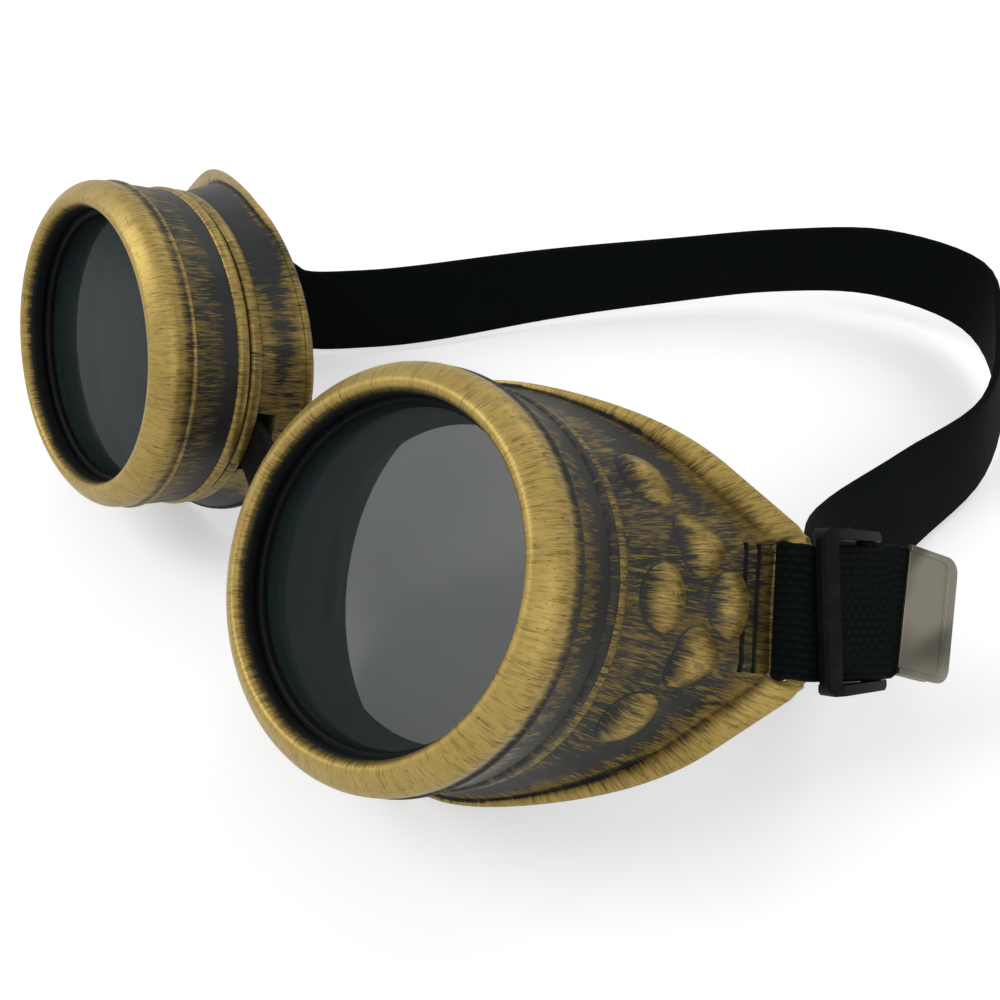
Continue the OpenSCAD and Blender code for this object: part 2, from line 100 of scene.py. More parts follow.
class Moulding:
    """The points and faces of one piece in millimetres, with the paint on each point."""

    def __init__(self):
        self.points, self.faces, self.paint = [], [], []

    def add(self, points, faces, paint):
        first = len(self.points)
        self.points.extend(tuple(p) for p in points)
        self.faces.extend(tuple(first + k for k in f) for f in faces)
        self.paint.extend(paint)
        return self

    def made(self, name, place, body, slot, finish, nodes, grain=0.0, crease=38):
        """The finished piece, on its body and in the place of its CAD nodes."""
        mesh = bpy.data.meshes.new(name)
        local = np.array(self.points, float)
        world = [place @ Vector(p) for p in self.points]
        mesh.from_pydata(world, [], self.faces)
        mesh.attributes.new("eye", "FLOAT_VECTOR", "POINT").data.foreach_set(
            "vector", (local + (0, grain, 0)).astype(np.float32).ravel())
        mesh.attributes.new("paint", "FLOAT", "POINT").data.foreach_set(
            "value", np.array(self.paint, np.float32))
        facing_out(mesh)
        mesh.shade_smooth()
        mesh.set_sharp_from_angle(angle=math.radians(crease))
        mesh.materials.append(finish)
        piece = in_scene(name, mesh)
        if body:
            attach(piece, body)
        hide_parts(*nodes)
        return piece


def woven_faces(rows, across, round_rows=True):
    """Faces between rows of points, each row a closed ring, and the last joined to the first."""
    return [(i * across + k, ((i + 1) % rows) * across + k,
             ((i + 1) % rows) * across + (k + 1) % across, i * across + (k + 1) % across)
            for i in range(rows if round_rows else rows - 1) for k in range(across)]


def turned_on_axis(outline, steps=180):
    """A closed outline of (radius, depth, paint) spun round the lens axis."""
    points, paint = [], []
    for i in range(steps):
        a = 2 * math.pi * i / steps
        for r, y, p in outline:
            points.append((r * math.cos(a), y, r * math.sin(a)))
            paint.append(p)
    return points, woven_faces(steps, len(outline)), paint


def flowing(points, n):
    """A smooth curve through the points, with n steps from each to the next."""
    p = np.array(points, float)
    p = np.vstack([2 * p[0] - p[1], p, 2 * p[-1] - p[-2]])
    out = []
    for a, b, c, d in zip(p, p[1:], p[2:], p[3:]):
        out += [0.5 * (2 * b + (c - a) * t + (2 * a - 5 * b + 4 * c - d) * t * t
                       + (3 * b - a - 3 * c + d) * t ** 3) for t in np.arange(n) / n]
    return np.array(out + [p[-2]])


def rounded(cx, cy, rx, ry, start, end, steps, paint):
    """Part of an oval, as (radius, depth, paint)."""
    return [(cx + rx * math.cos(math.radians(a)), cy + ry * math.sin(math.radians(a)), paint)
            for a in np.linspace(start, end, steps)]


class Wash:
    """A shader socket that sums and products can be written on."""

    def __init__(self, tree, socket=None):
        self.tree, self.socket = tree, socket

    def node(self, kind, settings, sockets, out=0):
        n = self.tree.nodes.new(kind)
        for key, value in settings.items():
            setattr(n, key, value)
        for key, value in sockets.items():
            if isinstance(value, Wash):
                self.tree.links.new(value.socket, n.inputs[key])
            else:
                n.inputs[key].default_value = value
        return Wash(self.tree, n.outputs[out] if n.outputs else None)

    def math(self, operation, a, b):
        return self.node("ShaderNodeMath", {"operation": operation}, {0: a, 1: b})

    def __add__(self, other):
        return self.math("ADD", self, other)

    def __sub__(self, other):
        return self.math("SUBTRACT", self, other)

    def __rsub__(self, other):
        return self.math("SUBTRACT", other, self)

    def __mul__(self, other):
        return self.math("MULTIPLY", self, other)

    __radd__, __rmul__ = __add__, __mul__

    def step(self, low, high):
        """0 below low and 1 above high, rounded between them."""
        return self.node("ShaderNodeMapRange", {"interpolation_type": "SMOOTHSTEP"},
                         {"Value": self, "From Min": low, "From Max": high})

    def scaled(self, x, y, z):
        return self.node("ShaderNodeVectorMath", {"operation": "MULTIPLY"}, {0: self, 1: (x, y, z)})

    def noise(self, scale, detail=3.0, rough=0.55):
        return self.node("ShaderNodeTexNoise", {}, {"Vector": self, "Scale": scale,
                                                    "Detail": detail, "Roughness": rough})

    def blend(self, low, high):
        """The colour low where the value is 0 and high where it is 1."""
        return self.node("ShaderNodeMix", {"data_type": "RGBA"},
                         {"Factor": self, 6: low, 7: high}, 2)

    def surface(self, sockets):
        """Ends a material: the principled shader with these sockets."""
        shader = self.node("ShaderNodeBsdfPrincipled", {}, sockets)
        self.node("ShaderNodeOutputMaterial", {}, {"Surface": shader})


def new_finish(name):
    material = bpy.data.materials.new(name)
    material.use_nodes = True
    material.node_tree.nodes.clear()
    return material, Wash(material.node_tree)


def dry_brushed_gold():
    """Black plastic with gold paint brushed over it, thick where the paint attribute is high.
    Where it is under zero no paint has reached, and the colour is darker, near black."""
    material, wash = new_finish("brushed_gold_plastic")
    eye = wash.node("ShaderNodeAttribute", {"attribute_name": "eye"}, {}, "Vector")
    load = wash.node("ShaderNodeAttribute", {"attribute_name": "paint"}, {}, "Fac")
    round_axis = wash.node("ShaderNodeVectorMath", {"operation": "NORMALIZE"},
                           {0: eye.scaled(1, 0, 1)})
    girth = 29
    # Brush strokes: narrow round the piece, long along it
    stroke_at, hair_at = (
        wash.node("ShaderNodeVectorMath", {"operation": "ADD"},
                  {0: round_axis.scaled(girth, 0, girth), 1: eye.scaled(out, along, out)})
        for out, along in ((0.13, 0.17), (0.11, 0.09)))
    strokes = stroke_at.noise(1.1, 3.0)
    hairs = hair_at.noise(4.6, 3.0, 0.6)
    patches = eye.noise(0.11, 2.0)
    pits = eye.noise(1.5, 5.0, 0.75)
    film = load + (strokes - 0.5) * 0.85 + (hairs - 0.5) * 1.35 + (patches - 0.5) * 0.6
    cover = load.step(0.15, 0.95) * 0.5 + 0.5
    gold = film.step(0.42, 0.68) * pits.step(0.30, 0.39) * cover
    worn = film.step(0.5, 1.35)
    tarnish = patches.step(0.4, 0.75) * 0.5
    bright = worn * 0.55 + hairs * 0.5 + pits * 0.35 - 0.2 - tarnish * 0.35
    old_gold = bright.step(0.05, 0.85).blend((0.15, 0.1, 0.027, 1), (0.43, 0.305, 0.085, 1))
    # Faces with no paint, inside the ring and the cup, get this darker, near-black colour
    inner = (0.0035, 0.004, 0.004, 1)
    outer = patches.step(0.3, 0.7).blend((0.009, 0.0105, 0.0095, 1), (0.02, 0.0225, 0.021, 1))
    plastic = load.step(-0.6, -0.1).blend(inner, outer)
    relief = gold * 0.45 + hairs * 0.7 + pits * 0.4
    bump = wash.node("ShaderNodeBump", {}, {"Strength": 0.4, "Distance": 0.00013, "Height": relief})
    wash.surface({"Base Color": gold.blend(plastic, old_gold), "Metallic": gold * 0.55,
                  "Roughness": 0.52 - gold * 0.1 + (hairs - 0.5) * 0.2,
                  "Normal": bump, "Specular IOR Level": 0.3})
    return material


gold_plastic = dry_brushed_gold()

lip = flowing([[0, 0], [0.05, 0.55], [0.14, 0.9], [0.26, 1], [0.38, 0.9], [0.52, 0.6],
               [0.68, 0.2], [0.82, -0.25], [0.93, -0.8], [0.98, -1.3], [1, -1.9]], 3)
lip_paint = np.interp(lip[:, 0], [0, 0.06, 0.2, 0.9, 1], [0.55, 0.95, 1.2, 1.1, 0.95])
ring_outline = [(view_r + a * (ring_r - view_r), -b * lip_h, p)
                for (a, b), p in zip(lip, lip_paint)]
ring_outline += [(ring_r, 3.2, 0.72)]
ring_outline += [(ring_r + out, line_y + y, p) for out, y, p in (
    (0, -0.5, 0.5), (0.22, -0.3, 0.7), (line_h, -0.1, 0.86), (line_h, 0.1, 0.86),
    (0.22, 0.3, 0.66), (0, 0.5, 0.56))]
ring_outline += [(ring_r, y, p) for y, p in (
    (6.2, 0.55), (8.2, 0.5), (9.6, 0.4), (10.8, 0.12), (11.9, 0.05), (bead_y, 0.5))]
ring_outline += rounded(ring_r - 0.1, bead_y + 1.1, 0.7, 1.1, -75, 75, 9, 0.92)
ring_outline += [(ring_r - 0.4, ring_len, 0.2)]
ring_outline += [(r, y, unpainted) for r, y in (
    (thread_bore + 0.05, ring_len), (thread_bore, ring_len - 0.3), (thread_bore, seat_back),
    (seat_r, seat_back - 0.3), (seat_r, lip_back), (view_r + 0.3, lip_back),
    (view_r + 0.08, lip_back - 0.3))]
ring_outline += [(view_r, 0.6, -0.5)]
for name, place, grain, rear in (("left_ring", left_eye, 0, 0.45),
                                 ("right_ring", right_eye, 100, 1.0)):
    # The left ring's raised line and bead have little paint, as the photograph shows
    outline = [(r, y, p * (rear if y > 4 and p > 0.6 else 1)) for r, y, p in ring_outline]
    Moulding().add(*turned_on_axis(outline, 240)).made(
        name + "_gold", place, name + "_body", "brushed_gold_plastic", gold_plastic, [name], grain)

# Spacers. A soft black rubber ring lies between each ring's lip and its lens, with a rounded
# inner edge that shows as a thin dull line round the glass.
lens_r = 25
gasket_y, gasket_t = 2.7, 1.18


def soft_black(name, colour, rough, size):
    """Moulded rubber or soft vinyl: near black, with a faint uneven bloom."""
    material, wash = new_finish(name)
    at = wash.node("ShaderNodeTexCoord", {}, {}, "Object")
    bloom = at.noise(260, 3.0)
    skin = at.noise(size, 2.0)
    bump = wash.node("ShaderNodeBump", {}, {"Strength": 0.2, "Distance": 0.00005, "Height": skin})
    pale = [c * 1.7 for c in colour[:3]] + [1]
    wash.surface({"Base Color": bloom.step(0.35, 0.7).blend(colour, pale),
                  "Roughness": rough + (bloom - 0.5) * 0.2,
                  "Normal": bump, "Specular IOR Level": 0.1})
    return material


rubber = soft_black("black_rubber", (0.004, 0.0045, 0.0045, 1), 0.55, 2600)
gasket_outline = [(lens_r - 0.05, gasket_y, 0), (24.2, gasket_y - 0.02, 0),
                  (23.7, gasket_y + 0.02, 0)]
gasket_outline += rounded(23.6, gasket_y + 0.6, 0.4, 0.58, -110, -250, 9, 0)
gasket_outline += [(lens_r - 0.05, gasket_y + gasket_t, 0), (lens_r, gasket_y + 0.6, 0)]
for side, place in (("left", left_eye), ("right", right_eye)):
    Moulding().add(*turned_on_axis(gasket_outline)).made(
        side + "_gasket_rubber", place, side + "_lens_body", "black_rubber", rubber,
        [side + "_gasket"])

# Lenses. Flat discs of smoke-grey glass-clear plastic, 50 mm across, as in a welder's cup
# goggle. They are dark but not opaque: the open back of the cup shows through as a paler
# patch. A ray passes two faces, so the disc is darker than its Alpha says.


def smoked_glass():
    material, wash = new_finish("smoked_lens")
    at = wash.node("ShaderNodeTexCoord", {}, {}, "Object")
    wipe = at.noise(38, 3.0)
    smoke = wipe.step(0.3, 0.75).blend((0.014, 0.024, 0.024, 1), (0.022, 0.034, 0.034, 1))
    wash.surface({"Base Color": smoke, "Roughness": 0.03 + wipe.step(0.4, 0.8) * 0.05, "Alpha": 0.6,
                  "IOR": 1.5, "Specular IOR Level": 0.12})
    return material


lens_glass = smoked_glass()
for side in ("left", "right"):
    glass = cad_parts[side + "_lens"]
    glass.data.materials.clear()
    glass.data.materials.append(lens_glass)

# Eye cups. Each is one moulding: a threaded barrel, a beaded flange, and a shell that flares
# to a rolled brim and reaches back at the temple, where a slot and a bar take the strap. Six
# rivet-like domes stand on the temple side. Paint lies thick on the brim, bead and domes.
neck_r = 28.3
flange_y = 14.9
flange_t = 2.3
shell_y = 16.4
cup_wall = 2
rim_half_h = 32.3
temple_reach = 46.6
nose_reach = 31
top_depth, temple_depth, nose_depth = 24, 39.5, 27
ear_half = 10.4
ear_slope = 0.868
ear_a = math.degrees(math.atan(ear_half / temple_reach))
brim_t, brim_narrow, brim_more = 1.6, 1.05, 4.35
rolled_to, rolled_fade = 112, 14
dome_along, dome_round, dome_h = 3.7, 4.6, 2
dome_r = 4.3
slot_x = 42.9
slot_w = 2.2
slot_len = 19.2
socket_at = (-25.9, 18.3)
bead_r = 1.6
bridge_w = 9.5
bridge_t = 2.2


def rim_r(a):
    """The rim's reach from the lens axis at an angle: an oval with a blunt ear at the temple."""
    c, s = np.cos(np.radians(a)), np.sin(np.radians(a))
    end = temple_reach / np.maximum(c, 0.1)
    slope = (ear_half + ear_slope * temple_reach) / (np.abs(s) + ear_slope * np.maximum(c, 0.1))
    corner = np.where(np.abs(np.abs(a) - ear_a) < 1, 0.4, 0)
    ear = np.where(np.abs(a) > 30, 0, np.minimum(end, slope) - corner)
    temple = np.maximum(rim_half_h + (temple_reach - 1.5 - rim_half_h) * np.maximum(c, 0) ** 3, ear)
    return np.where(c > 0, temple, rim_half_h + (nose_reach - rim_half_h) * c ** 2)


def rim_y(a):
    """How far back the rim lies at an angle."""
    x = rim_r(a) * np.cos(np.radians(a))
    temple = top_depth + (temple_depth - top_depth) * (np.maximum(x, 0) / temple_reach) ** 1.3
    return np.where(x > 0, temple, top_depth + (nose_depth - top_depth) * (x / nose_reach) ** 2)


def rolled_share(a):
    """1 where the rim is rolled into a brim, and 0 beside the nose, where its edge is plain."""
    return np.clip((rolled_to - np.abs(a)) / rolled_fade, 0, 1)


def brim_w(a):
    """The brim's width at an angle: widest at the temple, and hardly there beside the nose."""
    wide = brim_narrow + brim_more * np.maximum(0, np.cos(np.radians(a))) ** 2.3
    return np.maximum(0.5, rolled_share(a) * wide)


def wall_at(a, k):
    """A point on the outside of the wall: k is 0 at the flange and 1 at the foot of the brim."""
    a, k = np.asarray(a, float), np.asarray(k, float)
    r = neck_r + (rim_r(a) - brim_w(a) - neck_r) * k
    return np.stack([r * np.cos(np.radians(a)), shell_y + (rim_y(a) - brim_t - shell_y) * k,
                     r * np.sin(np.radians(a))], -1)


def wall_paint(points, bare_below):
    """The paint on points of the shell: the brim and its ragged edge, painted shade in the crease
    at its foot, temple and nasal strokes.
    """
    x, y, z = np.array(points, float).T
    a, r = np.degrees(np.arctan2(z, x)), np.hypot(x, z)
    foot_r, foot_y = rim_r(a) - brim_w(a), rim_y(a) - brim_t
    k = (y - shell_y) / (foot_y - shell_y)
    length = np.hypot(foot_r - neck_r, foot_y - shell_y)
    outside = r > neck_r + (foot_r - neck_r) * np.clip(k, 0, 1) - 0.7
    c, s = np.cos(np.radians(a)), np.sin(np.radians(a))
    haze = 0.27 + 0.25 * np.clip((c - 0.1) / 0.5, 0, 1) + 0.46 * np.clip((-c - 0.2) / 0.45, 0, 1)
    lap = 1.6 + 2.2 * np.clip(-s * 1.3, 0, 1) + 1.2 * np.clip((c - 0.5) / 0.4, 0, 1)
    near_brim = np.clip(1 - (1 - k) * length / lap, 0, 1)
    clean = np.exp(-(((1 - k) * length - lap - 2.2) / 1.8) ** 2)
    clean = clean * np.clip((0.95 - np.abs(c)) / 0.1, 0, 1)
    rolled = rolled_share(a)
    paint = haze - 0.32 * clean + (0.85 - haze) * near_brim ** 1.2 * (0.3 + 0.7 * rolled)
    brim = (y > foot_y - 0.5) & (r > foot_r - 0.2)
    # Painted shade: the crease at the brim's foot gets less paint, so it renders darker
    crease = brim & (r < foot_r + 0.35) & (np.abs(a) > 16)
    out = np.clip((r - foot_r) / np.maximum(brim_w(a), 0.6), 0, 1)
    on_brim = (0.62 + 0.44 * np.minimum(1, out / 0.45)) * rolled + (haze + 0.1) * (1 - rolled)
    crease_shade = 0.34 + 0.3 * np.clip((c - 0.6) / 0.3, 0, 1)
    paint = np.where(brim, on_brim, paint)
    paint = np.where(crease & (rolled > 0.5), crease_shade, paint)
    bare = np.clip((-s - 0.45) / 0.25, 0, 1) * bare_below
    paint = paint * (1 - bare)
    back = y > rim_y(a) - 0.25
    edge = np.where(back & (r > rim_r(a) - 1.2), 0.45 * (1 - bare), unpainted)
    return np.where(outside & ~back, paint, edge)


def cut_out(points, faces, cutters, operation="DIFFERENCE"):
    """The solid with each cutter taken away, or with only what they share kept."""
    def solid(pts, fcs):
        mesh = bpy.data.meshes.new("blank")
        mesh.from_pydata([tuple(p) for p in pts], [], fcs)
        facing_out(mesh)
        return in_scene("blank", mesh)
    work, tools = solid(points, faces), [solid(*c) for c in cutters]
    for tool in tools:
        m = work.modifiers.new("cut", "BOOLEAN")
        m.operation, m.solver, m.object = operation, "EXACT", tool
    view = bpy.context.evaluated_depsgraph_get()
    done = bpy.data.meshes.new_from_object(work.evaluated_get(view))
    result = [tuple(v.co) for v in done.vertices], [tuple(p.vertices) for p in done.polygons]
    for blank in [work] + tools:
        bpy.data.objects.remove(blank)
    return result


def block(x, y, z, tilt=0.0, at=(0, 0)):
    """A block between these limits, tilted about Z round the point at."""
    c, s = math.cos(tilt), math.sin(tilt)
    points = [(at[0] + u * c - v * s, at[1] + u * s + v * c, w) for u in x for v in y for w in z]
    return points, [(0, 1, 3, 2), (4, 6, 7, 5), (0, 4, 5, 1),
                    (2, 3, 7, 6), (0, 2, 6, 4), (1, 5, 7, 3)]


def capped(rows, across):
    """Faces of a tube of points, rows times across, with both ends closed."""
    last = (rows - 1) * across
    return woven_faces(rows, across, False) + [tuple(range(across)),
                                               tuple(range(last, last + across))]


def prism(outline, half):
    """An outline in X and Y stretched along Z by half each way."""
    return [(x, y, s * half) for s in (-1, 1) for x, y in outline], capped(2, len(outline))


def round_turn(n):
    """This many angles, spaced evenly round a full turn."""
    return np.linspace(0, 2 * math.pi, n + 1)[:-1]


ear_corners = {s * (ear_a + d) for s in (-1, 1) for d in (-1.2, -0.6, 0, 0.6, 3)}
shell_angles = sorted(set(np.arange(-180, 180, 1.5)) | ear_corners)


def shell_sections():
    """The flared shell with its rolled brim, as one section of the wall at each angle."""
    points = []
    for a in shell_angles:
        r, y, w = float(rim_r(a)), float(rim_y(a)), float(brim_w(a))
        f = r - w
        puff = min(0.2, w * 0.06)
        section = [(neck_r + (f - neck_r) * k, shell_y + (y - brim_t - shell_y) * k)
                   for k in np.linspace(0, 0.97, 15)]
        section += [(f + w * u, y - brim_t - puff * v)
                    for u, v in ((0.03, -0.2), (0.12, 0.35), (0.3, 0.85), (0.5, 1), (0.72, 0.7))]
        section += [(r - 0.35, y - brim_t + 0.05), (r - 0.1, y - brim_t * 0.78),
                    (r, y - brim_t * 0.5), (r - 0.06, y - 0.42), (r - 0.22, y - 0.14), (r - 0.5, y)]
        inner = f - cup_wall * 0.95
        section += [(inner + (r - inner) * 0.5, y), (inner + 0.35, y),
                    (inner + 0.08, y - 0.12), (inner - 0.05, y - 0.45)]
        section += [(inner + (neck_r - cup_wall * 1.05 - inner) * k, y + (shell_y - y) * k)
                    for k in (0.2, 0.45, 0.7, 1)]
        c, s = math.cos(math.radians(a)), math.sin(math.radians(a))
        points += [(p * c, q, p * s) for p, q in section]
    across = len(points) // len(shell_angles)
    return points, woven_faces(len(shell_angles), across)


foot = wall_at(0, 1)
lean = math.atan2(*(foot - wall_at(0, 0))[[1, 0]])
slit_half_w, slit_half_len, slit_places = 0.45, 9, (2.3, 4.6)
slit_tools = [block((-s - slit_half_w, -s + slit_half_w), (-4, 4), (-slit_half_len, slit_half_len),
                    lean, foot[:2]) for s in slit_places]
slot_tool = block((slot_x - slot_w / 2, slot_x + slot_w / 2), (28, 44),
                  (-slot_len / 2, slot_len / 2))
sx, sy = socket_at
bore_r, bore_half = 1.9, bridge_w / 2 + 2.3
bore_tool = prism([(sx + bore_r * math.cos(t), sy + bore_r * math.sin(t))
                   for t in round_turn(24)], bore_half)
mouth, mouth_room = 5.9, 3.4
mouth_half = bridge_t / 2 + 0.1 + mouth * math.tan(math.radians(22))
mouth_tool = prism([(sx, sy - 1.25), (sx - mouth, sy - mouth_half), (sx - mouth, sy + mouth_half),
                    (sx, sy + 1.25)], (bridge_w + mouth_room) / 2)
shell = cut_out(*shell_sections(), slit_tools + [slot_tool, bore_tool, mouth_tool])

boss_r, boss_half, flange_edge = 3, 7.75, 28.7
boss = []
for z in np.linspace(-boss_half, boss_half, 9):
    reach = math.sqrt(flange_edge ** 2 - z * z)
    for t in round_turn(32):
        boss.append((max(sx + boss_r * math.cos(t), -reach), sy + boss_r * math.sin(t), z))
boss = cut_out(boss, capped(9, 32), [bore_tool, mouth_tool])


def dome(a, k):
    """An oval dome that follows the wall round its foot, with a small fillet there."""
    along = wall_at(a, 1) - wall_at(a, 0)
    across = wall_at(a + 1, k) - wall_at(a - 1, k)
    out = np.cross(along, across)
    out /= np.linalg.norm(out)
    per_degree, length = np.linalg.norm(across) / 2, np.linalg.norm(along)
    cap_r = (dome_r ** 2 + dome_h ** 2) / (2 * dome_h)
    rings = [(t, dome_h - cap_r + math.sqrt(cap_r ** 2 - (t * dome_r) ** 2))
             for t in np.linspace(0.04, 0.955, 12)]
    rings += [(0.99, 0.16), (1.02, 0.04), (1.05, -0.08), (1.06, -0.5)]
    points, paint, around = [], [], 48
    for share, high in rings:
        for t in round_turn(around):
            u, v = dome_round * share * math.cos(t), dome_along * share * math.sin(t)
            points.append(wall_at(a + u / per_degree, k + v / length) + out * high * 0.9)
            # Painted shade: less paint on the side of each dome towards the flange, and in a ring
            # round its foot, so these render darker
            shade = 0.72 * max(0, 0.1 - math.sin(t)) * max(0, share - 0.3)
            paint.append(0.86 - shade - (0.2 if share > 0.97 else 0))
    top = len(points)
    points.append(wall_at(a, k) + out * dome_h * 0.9)
    paint.append(1.0)
    faces = woven_faces(len(rings), around, False)
    faces += [(i, (i + 1) % around, top) for i in range(around)]
    faces.append(tuple(range(top - around, top)))
    return points, faces, paint


thread_root, thread_crest, thread_from = 25.5, 26.6, 7.72
thread_turns, thread_pitch, thread_angle = 1.5, 3, 33


def thread_ridge():
    """A screw ridge, wide at its root, wound once and a half round the barrel."""
    points, per_turn = [], 72
    steps = int(thread_turns * per_turn)
    for i in range(steps + 1):
        b = math.radians(360 / per_turn * i + thread_angle)
        rise = thread_from + thread_pitch * i / per_turn
        for r, y in ((thread_root, -0.6), (thread_crest, -0.4),
                     (thread_crest, 0.4), (thread_root, 0.6)):
            points.append((r * math.cos(b), rise + y, r * math.sin(b)))
    return points, capped(steps + 1, 4), [0.0] * len(points)


barrel_r, barrel_bore, barrel_y = 25.9, 23.4, 6.22
flange_outline = [(barrel_bore, barrel_y, unpainted), (barrel_r - 0.15, barrel_y, unpainted),
                  (barrel_r, barrel_y + 0.18, unpainted), (barrel_r, flange_y, unpainted),
                  (28.4, flange_y, 0.1)]
flange_outline += rounded(28.65, flange_y + 1.15, 0.7, 1.15, -88, 88, 13, 0.8)
flange_outline += [(28.2, flange_y + flange_t + 0.05, 0.25), (27.3, 17.2, unpainted),
                   (26.3, 17.6, unpainted), (barrel_bore, 16.2, unpainted)]
domes = [(31, 0.42), (0, 0.27), (-31, 0.42), (12.8, 0.52), (-12.8, 0.52), (0, 0.71)]
for side, place, grain, bare, bead in (("left", left_eye, 0, 0.0, 0.86),
                                       ("right", right_eye_mirrored, 100, 1.0, 1)):
    cup = Moulding()
    cup.add(*shell, wall_paint(shell[0], bare))
    outline = [(r, y, p * (bead if p > 0.5 else 1)) for r, y, p in flange_outline]
    cup.add(*turned_on_axis(outline, 240))
    cup.add(*boss, [0.35] * len(boss[0]))
    for a, k in domes:
        cup.add(*dome(a, k))
    cup.add(*thread_ridge())
    cup.made(side + "_cup_gold", place, side + "_cup_body", "brushed_gold_plastic", gold_plastic,
             [side + "_cup"], grain, 32)

# Nose bridge. A short strip of soft black vinyl with a bead along each end, which snaps into
# the socket beside each eye and turns there.
bridge_reach = 10


def local(place, p):
    return np.array(place @ Vector(p)) * 1000


def lengthways(path):
    """The heading at each point of a path."""
    path = np.array(path)
    d = np.vstack([path[1] - path[0], path[2:] - path[:-2], path[-1] - path[-2]])
    return d / np.linalg.norm(d, axis=1)[:, None]


def ribbon(path, wide, widths, thick, headings=None, edge=0.5, cells=8):
    """A flat strip with rounded edges along a path. Gives points, faces and cloth places."""
    h = lengthways(path) if headings is None else headings
    gone = np.concatenate([[0], np.cumsum(np.linalg.norm(np.diff(np.array(path), axis=0), axis=1))])
    points, cloth = [], []
    for i, p in enumerate(path):
        w = np.array(wide[i]) - np.dot(wide[i], h[i]) * h[i]
        w /= np.linalg.norm(w)
        n = np.cross(h[i], w)
        half, t = widths[i] / 2, thick / 2
        ring = [(v, -t) for v in np.linspace(-half + edge, half - edge, cells)]
        ring += [(half - edge * (1 - math.cos(q)), t * math.sin(q))
                 for q in np.radians((-60, -30, 0, 30, 60))]
        ring += [(v, t) for v in np.linspace(half - edge, -half + edge, cells)]
        ring += [(-half + edge * (1 - math.cos(q)), t * math.sin(q))
                 for q in np.radians((60, 30, 0, -30, -60))]
        for v, out in ring:
            points.append(p + w * v + n * out)
            cloth.append((gone[i], v, 30 if out > 0 else 0))
    return points, capped(len(path), len(points) // len(path)), cloth


vinyl = soft_black("soft_vinyl", (0.006, 0.0065, 0.0065, 1), 0.5, 1800)
to_mm = Matrix.Scale(0.001, 4)
a, b = local(left_eye, (sx, sy, 0)), local(right_eye, (-sx, sy, 0))
ta = local(left_eye, (sx - 1, sy, 0)) - a
tb = local(right_eye, (-sx + 1, sy, 0)) - b
wa, wb = (local(e, (0, 0, 1)) - local(e, (0, 0, 0)) for e in (left_eye, right_eye))
t = np.linspace(0, 1, 33)[:, None]
path = (a * (1 - t) ** 3 + 3 * (a + ta * bridge_reach) * (1 - t) ** 2 * t
        + 3 * (b + tb * bridge_reach) * (1 - t) * t ** 2 + b * t ** 3)
bridge = Moulding()
strip = ribbon(path, wa * (1 - t) + wb * t, [bridge_w] * len(path), bridge_t, edge=0.9)
bridge.add(strip[0], strip[1], [0.0] * len(strip[0]))
for end, up in ((a, wa), (b, wb)):
    side_a = np.cross(up, (0.3, 0.8, 0.5))
    side_a /= np.linalg.norm(side_a)
    side_b = np.cross(up, side_a)
    points = []
    for v, r in ((-4.75, 0.9), (-4.6, 1.35), (-4.25, bead_r),
                 (4.25, bead_r), (4.6, 1.35), (4.75, 0.9)):
        points += [end + up * v + (side_a * math.cos(q) + side_b * math.sin(q)) * r
                   for q in round_turn(24)]
    bridge.add(points, capped(6, 24), [0.0] * len(points))
bridge.made("nose_bridge_vinyl", to_mm, "bridge_and_strap", "black_rubber", vinyl, ["nose_bridge"])

# Head strap. Black elastic webbing 20 mm wide, drawn in where it meets the cups. It is sewn
# round the right cup's bar, goes round the head, and comes up through the left cup's slot. It
# is made in two halves, which meet at the back.
strap_w, strap_end_w, strap_t = 20, 18.4, 1.5


def webbing(name, rib, dash, depth, colour):
    """Woven elastic: ribs along the strap, a rib apart, each broken into dashes of yarn."""
    material, wash = new_finish(name)
    cloth = wash.node("ShaderNodeAttribute", {"attribute_name": "cloth"}, {}, "Vector")
    along = wash.node("ShaderNodeSeparateXYZ", {}, {"Vector": cloth}, 0)
    across = Wash(wash.tree, along.socket.node.outputs[1])
    row = across * (1 / rib)
    lane = wash.math("FLOOR", row, 0)
    ridge = wash.math("SINE", wash.math("FRACT", row, 0) * math.pi, 0)
    shift = along * (math.tau / dash) + lane * math.pi
    yarn = wash.math("SINE", shift, 0) * 0.5 + 0.5
    fuzz = cloth.noise(5.5, 3.0, 0.65)
    sag = cloth.noise(0.12, 2.0)
    height = ridge * (0.45 + yarn * 0.55) + fuzz * 0.35
    bump = wash.node("ShaderNodeBump", {},
                     {"Strength": depth, "Distance": 0.00025, "Height": height})
    # Painted shade and highlight: the colour is darker in the grooves between ribs and dashes and
    # paler on their crests, with random tone from sag added
    shade = height * 0.6 + sag * 0.3
    dark, pale = ([c * share for c in colour[:3]] + [1] for share in (0.55, 1.5))
    wash.surface({"Base Color": shade.step(0.2, 1.0).blend(dark, pale),
                  "Roughness": 0.86 + (fuzz - 0.5) * 0.12,
                  "Normal": bump, "Specular IOR Level": 0.06})
    return material


run_cloth = webbing("black_webbing", 0.62, 0.9, 0.35, (0.0028, 0.0042, 0.0041, 1))


def strap_piece(name, place, path, wide, widths, finish, body, nodes, headings=None):
    points, faces, cloth = ribbon(path, wide, widths, strap_t, headings)
    strap = Moulding().add(points, faces, [0.0] * len(points)).made(
        name, place, body, "black_webbing", finish, nodes, crease=60)
    strap.data.attributes.new("cloth", "FLOAT_VECTOR", "POINT").data.foreach_set(
        "vector", np.array(cloth, np.float32).ravel())
    return strap


